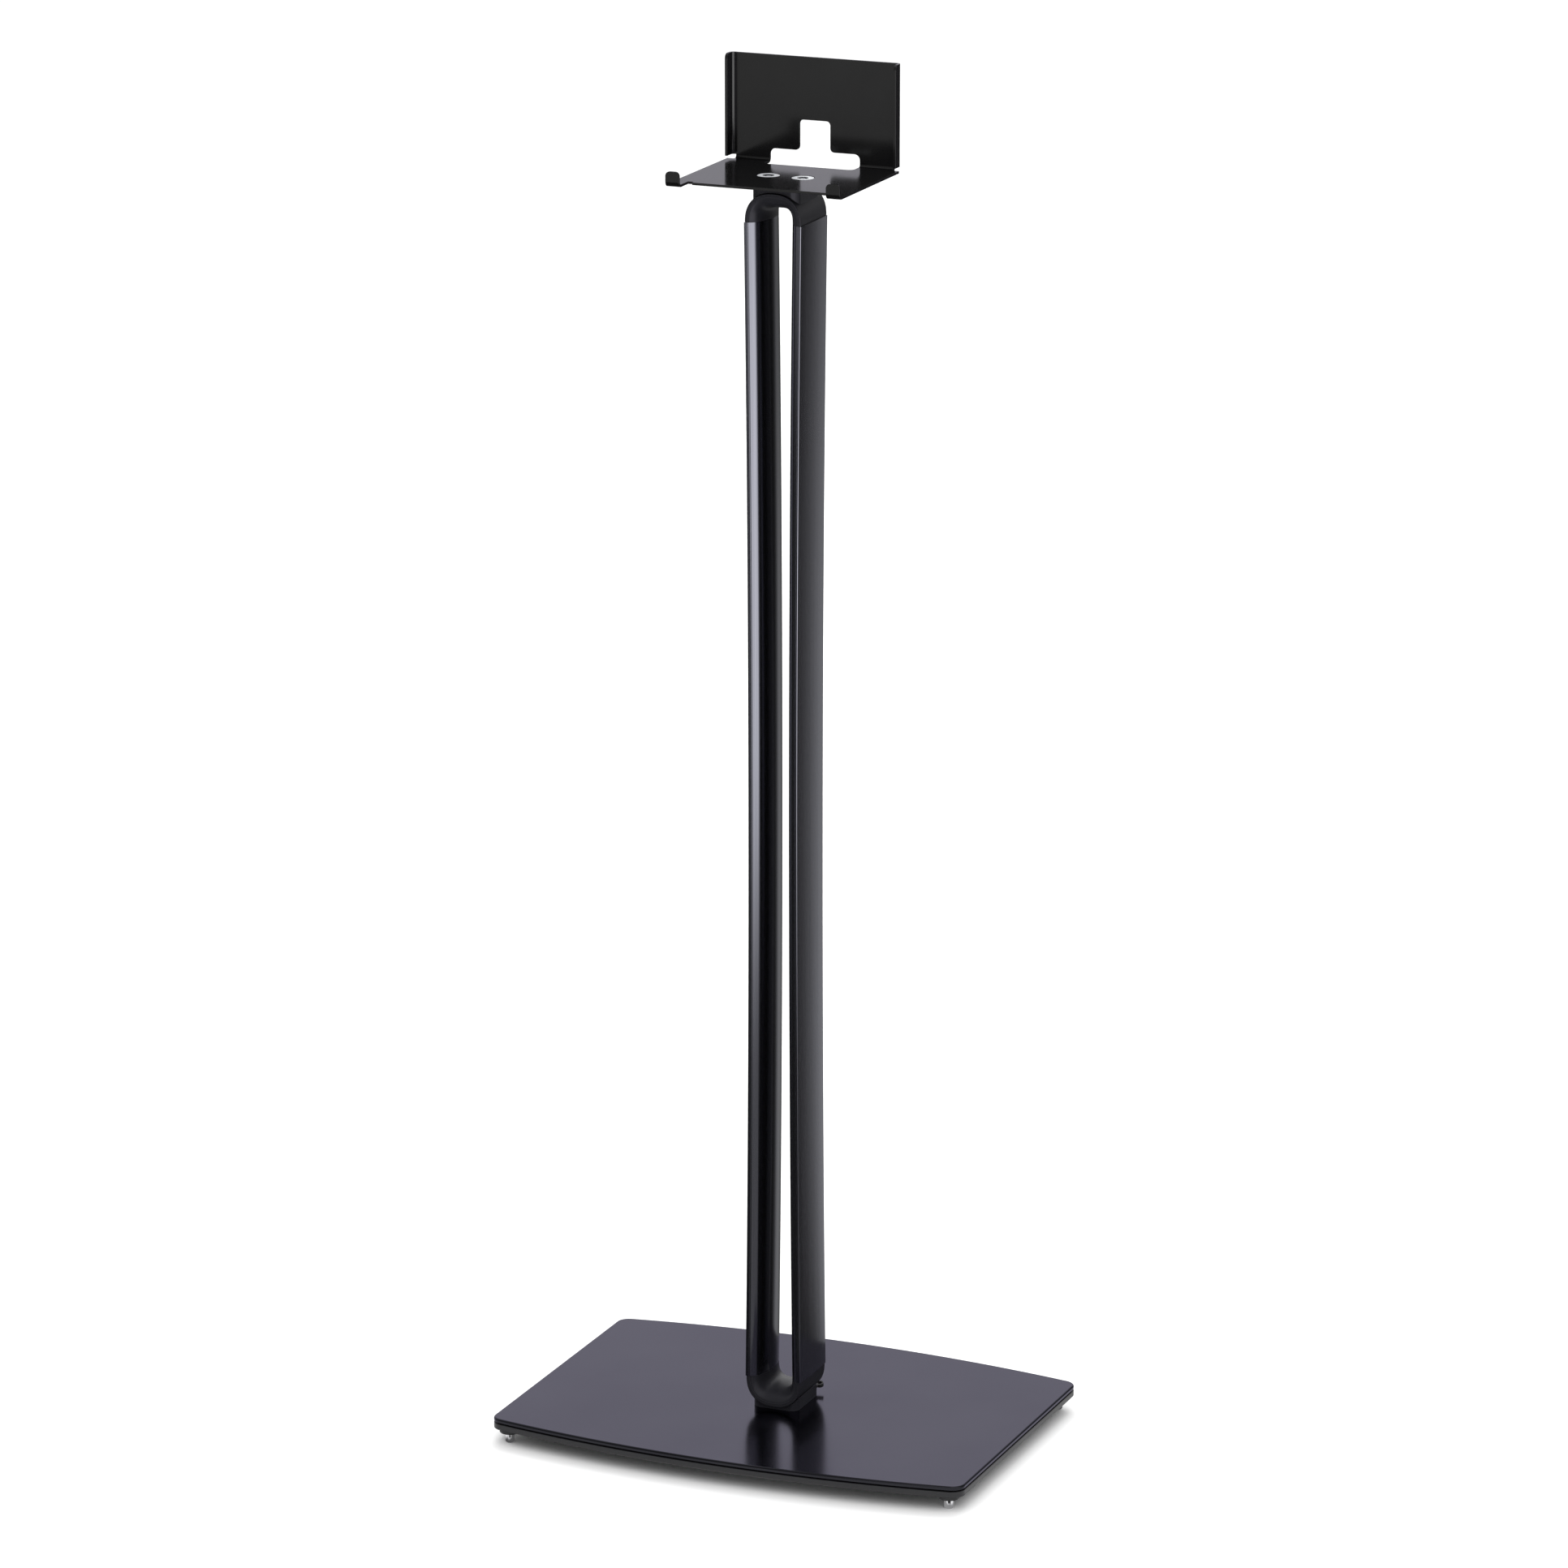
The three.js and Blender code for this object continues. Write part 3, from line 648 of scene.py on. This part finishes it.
def section(crest, half_depth, crown):
    """Pairs of depth into the loop and y: a crowned strip, two lands and a rounded side."""
    small = EDGE / 2
    points = arc(EDGE, -half_depth + EDGE, EDGE, 180, 270, EDGE_STEPS)
    points += groove(-half_depth, 1)
    points += arc(LAND - small, -half_depth + small, small, 270, 350, LAND_EDGE_STEPS)
    for i in range(SIDE_STEPS + 1):
        angle = pi * (i / SIDE_STEPS - 0.5)
        depth = LAND + (crest - LAND) * cos(angle)
        points.append((depth, (half_depth - LAND_STEP) * sin(angle)))
    points += arc(LAND - small, half_depth - small, small, 10, 90, LAND_EDGE_STEPS)
    points += groove(half_depth, -1)[::-1]
    points += arc(EDGE, half_depth - EDGE, EDGE, 90, 180, EDGE_STEPS)
    flat = half_depth - EDGE
    for i in range(1, CROWN_STEPS):
        y = flat * (1 - 2 * i / CROWN_STEPS)
        points.append((-crown * (1 - (y / flat) ** 2), y))
    return points


def build_profile(name, node, side):
    outline = section(CREST, HALF_DEPTH, CROWN)
    low = LOW_SEAM + SEAM
    high = HIGH_SEAM - SEAM
    rings = []
    for i in range(PROFILE_STEPS + 1):
        z = low + (high - low) * i / PROFILE_STEPS
        outer = half_width(z)
        rings.append([(side * (outer - depth), y, z) for depth, y in outline])
    piece = skin(name, rings, "stand", ANODISED)
    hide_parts(node)


def arch_point(angle, half_x, rise, square):
    power = 2 / square
    x = half_x * abs(cos(angle)) ** power
    return (x if cos(angle) > 0 else -x, rise * abs(sin(angle)) ** power)


def cap_rings():
    """Sections round an arch that stands on a seam at z = 0."""
    outline = section(LAND + 1, HALF_DEPTH - CAP_INSET, 0)
    rings = []
    for i in range(CAP_STEPS + 1):
        angle = pi * i / CAP_STEPS
        outer = arch_point(angle, END_HALF - CAP_INSET, CAP_RISE, CAP_SQUARE)
        rise = CAP_RISE - CAP_THICK_END
        inner = arch_point(angle, END_HALF - CREST, rise, CAP_INNER_SQUARE)
        thick = hypot(inner[0] - outer[0], inner[1] - outer[1])
        along_x = (inner[0] - outer[0]) / thick
        along_z = (inner[1] - outer[1]) / thick
        ring = []
        for depth, y in outline:
            reach = depth if depth <= LAND else LAND + (depth - LAND) * (thick - LAND)
            ring.append((outer[0] + along_x * reach, y, outer[1] + along_z * reach))
        rings.append(ring)
    return rings


def tongue_rings(ring):
    """Carries a seam section a little way into the profile, drawn in all round."""
    centre_x = sum(x for x, _, _ in ring) / len(ring)
    inside = []
    for x, y, z in ring:
        inside.append((centre_x + TONGUE_ACROSS * (x - centre_x), TONGUE_DEEP * y, z))
    return [inside, [(x, y, z - TONGUE_SHOWN) for x, y, z in inside]]


def build_cap(name, node, seam, turn):
    rings = cap_rings()
    whole = tongue_rings(rings[0])[::-1] + rings + tongue_rings(rings[-1])
    placed = [[(turn * x, y, seam + turn * z) for x, y, z in ring] for ring in whole]
    piece = skin(name, placed, "stand", CAP_PLASTIC)
    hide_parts(node)


def build_column():
    build_profile("left_profile_skin", "left_profile", -1)
    build_profile("right_profile_skin", "right_profile", 1)
    build_cap("upper_cap_skin", "upper_cap", HIGH_SEAM, 1)
    build_cap("lower_cap_skin", "lower_cap", LOW_SEAM, -1)
    for neck in ("lower_neck", "upper_neck"):
        solid_skin(neck, neck + "_skin", NECK_SOFT, "stand", "cap_plastic", CAP_PLASTIC)
    ring = ("cable_ring", "cable_ring_skin", RING_SOFT)
    solid_skin(*ring, "stand", "ring_plastic", RING_PLASTIC)


# ---- bracket and screws ----
def hexagon_radius(angle, half):
    return half / cos((angle % (pi / 3)) - pi / 6)


def screw_rings():
    """A countersunk screw that stands with its head at z = 0."""
    cone = HEAD_RADIUS - SCREW_RADIUS
    round_rings = (
        (SCREW_RADIUS - SCREW_TIP, -SCREW_LENGTH),
        (SCREW_RADIUS, -SCREW_LENGTH + SCREW_TIP),
        (SCREW_RADIUS, -HEAD_RIM - cone),
        (HEAD_RADIUS, -HEAD_RIM),
        (HEAD_RADIUS, -0.8 * HEAD_EASE),
        (HEAD_RADIUS - 0.35 * HEAD_EASE, -0.25 * HEAD_EASE),
        (HEAD_RADIUS - HEAD_EASE, 0),
        (SOCKET_HALF + SOCKET_CHAMFER, 0),
        (SOCKET_HALF + SOCKET_CHAMFER - 0.15, -0.04),
    )
    angles = [2 * pi * i / SCREW_STEPS for i in range(SCREW_STEPS)]
    rings = []
    for radius, z in round_rings:
        rings.append([(radius * cos(a), radius * sin(a), z) for a in angles])
    for z in (-SOCKET_LEAD, -SOCKET_DEPTH):
        ring = []
        for a in angles:
            radius = hexagon_radius(a, SOCKET_HALF)
            ring.append((radius * cos(a), radius * sin(a), z))
        rings.append(ring)
    deepest = -SOCKET_DEPTH - SOCKET_TIP
    rings.append([(SOCKET_CENTRE * cos(a), SOCKET_CENTRE * sin(a), deepest) for a in angles])
    return rings


def build_screw(node, side, face, up):
    middle = side * SCREW_X
    top = face - up * HEAD_SINK
    placed = [[(middle + x, y, top + up * z) for x, y, z in ring] for ring in screw_rings()]
    piece = skin(node + "_skin", placed, "stand", ZINC)
    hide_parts(node)


def build_bracket():
    bracket = ("speaker_bracket", "speaker_bracket_skin", BRACKET_SOFT)
    solid_skin(*bracket, "stand", "bracket_coat", BRACKET_COAT)
    for word, side in (("left", -1), ("right", 1)):
        build_screw("bracket_screw_" + word, side, PLATE_TOP, 1)
        build_screw("column_bolt_" + word, side, LOWER_Z, -1)


# ---- studio ----
def bearing(nodes, vector):
    """Azimuth of a vector: 0 towards the front, positive towards the right."""
    parts = nodes.parts(vector)
    forward = nodes.adjusted("MULTIPLY", parts["Y"], -1)
    return nodes.combined("ARCTAN2", parts["X"], forward)


def brightness(nodes, vector, table):
    """Level read from a table by the azimuth of a vector."""
    level = nodes.add("ShaderNodeFloatCurve")
    curve = level.mapping.curves[0]
    peak = max(value for _, value in table)
    for index, (azimuth, value) in enumerate(table):
        place = ((azimuth + 180) / 360, value / peak)
        if index < 2:
            curve.points[index].location = place
        else:
            curve.points.new(*place)
    for point in curve.points:
        point.handle_type = "VECTOR"
    level.mapping.update()
    turn = nodes.ramp(bearing(nodes, vector), 0, 1, -pi, pi)
    nodes.link(turn, level.inputs["Value"])
    return nodes.adjusted("MULTIPLY", level.outputs[0], peak)


def backdrop(nodes):
    node = nodes.add("ShaderNodeBackground")
    node.inputs["Color"].default_value = (1, 1, 1, 1)
    node.inputs["Strength"].default_value = 1
    return node


def build_world():
    """White to the camera, plain to matt surfaces and shaped by azimuth to glossy ones."""
    world = bpy.data.worlds.new("studio")
    bpy.context.scene.world = world
    world.use_nodes = True
    world.node_tree.nodes.clear()
    nodes = Nodes(world.node_tree)
    path = nodes.add("ShaderNodeLightPath").outputs
    direction = nodes.add("ShaderNodeTexCoord").outputs["Generated"]
    plain = backdrop(nodes)
    height = nodes.parts(direction)["Z"]
    above = nodes.eased(height, 0, 1, HORIZON_LIGHT, ZENITH_LIGHT)
    nodes.link(above, plain.inputs["Strength"])
    gloss = backdrop(nodes)
    nodes.link(brightness(nodes, direction, ROOM), gloss.inputs["Strength"])
    white = backdrop(nodes)
    seen = nodes.mixed(path["Is Glossy Ray"], plain.outputs[0], gloss.outputs[0])
    final = nodes.mixed(path["Is Camera Ray"], seen, white.outputs[0])
    output = nodes.add("ShaderNodeOutputWorld")
    nodes.link(final, output.inputs["Surface"])


def outside_painted_shadow(nodes, place):
    """One on the floor outside a rectangle about as large as the base, small inside it: a painted
    shadow under the base in the floor that gloss sees.
    """
    parts = nodes.parts(place)
    gaps = []
    for axis, half in (("X", BASE_WIDTH / 2), ("Y", BASE_SIDE / 2 + BASE_BULGE / 3)):
        aside = nodes.changed("ABSOLUTE", parts[axis])
        gaps.append(nodes.adjusted("SUBTRACT", aside, half * MM))
    gap = nodes.combined("MAXIMUM", *gaps)
    return nodes.eased(gap, *SHADE_FADE)


def floor_gloss(nodes, place, ray_length):
    """Brightness of the floor as glossy surfaces see it, with a painted shadow under the base in
    its close pale part.
    """
    away = nodes.length(place)
    patches = []
    for table, fade in ((FLOOR_FRONT, FRONT_FADE), (FLOOR_REAR, REAR_FADE), (FLOOR_FAR, FAR_FADE)):
        patch = brightness(nodes, place, table)
        patches.append(nodes.combined("MULTIPLY", patch, nodes.eased(away, *fade)))
    level = nodes.combined("ADD", patches[0], patches[1])
    level = nodes.combined("ADD", level, patches[2])
    close = nodes.eased(ray_length, *CLOSE_FADE)
    # the close pale floor is darkened under the base, a painted shadow
    close = nodes.combined("MULTIPLY", close, outside_painted_shadow(nodes, place))
    return nodes.combined("MAXIMUM", level, close)


def floor_material():
    material = bpy.data.materials.new("floor_white")
    material.use_nodes = True
    material.node_tree.nodes.clear()
    nodes = Nodes(material.node_tree)
    path = nodes.add("ShaderNodeLightPath").outputs
    place = nodes.add("ShaderNodeNewGeometry").outputs["Position"]
    paper = nodes.add("ShaderNodeBsdfDiffuse")
    paper.inputs["Color"].default_value = (FLOOR_WHITE, FLOOR_WHITE, FLOOR_WHITE, 1)
    gloss = nodes.add("ShaderNodeEmission")
    nodes.link(floor_gloss(nodes, place, path["Ray Length"]), gloss.inputs["Strength"])
    final = nodes.mixed(path["Is Glossy Ray"], paper.outputs[0], gloss.outputs[0])
    output = nodes.add("ShaderNodeOutputMaterial")
    nodes.link(final, output.inputs["Surface"])
    return material


def build_floor():
    mesh = bpy.data.meshes.new("floor")
    corners = ((-1, -1), (1, -1), (1, 1), (-1, 1))
    verts = [(FLOOR_REACH * x, FLOOR_REACH * y, 0) for x, y in corners]
    mesh.from_pydata(verts, [], [(0, 1, 2, 3)])
    mesh.materials.append(floor_material())
    floor = bpy.data.objects.new("floor", mesh)
    bpy.context.scene.collection.objects.link(floor)


def area_lamp(name, place, aim, size, power):
    """A soft lamp that neither the camera nor gloss sees."""
    data = bpy.data.lights.new(name, "AREA")
    data.shape = "RECTANGLE"
    data.size, data.size_y = size
    data.energy = power
    lamp = bpy.data.objects.new(name, data)
    bpy.context.scene.collection.objects.link(lamp)
    lamp.location = place
    lamp.rotation_euler = (Vector(aim) - Vector(place)).to_track_quat("-Z", "Y").to_euler()
    lamp.visible_camera = False
    lamp.visible_glossy = False


def build_lamps():
    back = ((-0.5, 2.2, 2.6), (0, 0, 0.2))
    area_lamp("back_lamp", *back, BACK_LAMP_SIZE, BACK_LAMP_POWER)
    front = ((1.6, -2.2, 2.4), (0, 0, 0.4))
    area_lamp("front_lamp", *front, FRONT_LAMP_SIZE, FRONT_LAMP_POWER)


def build_camera():
    a = CAMERA_AZIMUTH
    e = CAMERA_ELEVATION
    back = Vector((sin(a) * cos(e), -cos(a) * cos(e), sin(e)))
    right = Vector((cos(a), sin(a), 0))
    up = back.cross(right)
    eye = Vector((0, 0, CAMERA_AIM_Z)) + back * CAMERA_DISTANCE + right * CAMERA_ASIDE
    data = bpy.data.cameras.new("camera")
    data.sensor_width = SENSOR
    data.lens = PHOTO_FOCAL / PHOTO_SIDE * SENSOR
    data.clip_end = CAMERA_REACH
    camera = bpy.data.objects.new("camera", data)
    bpy.context.scene.collection.objects.link(camera)
    turn = Matrix((right, up, back)).transposed().to_4x4()
    camera.matrix_world = Matrix.Translation(eye) @ turn
    bpy.context.scene.camera = camera


build_base()
build_feet()
build_column()
build_bracket()
build_world()
build_floor()
build_lamps()
build_camera()

bpy.context.scene.view_settings.view_transform = "Standard"
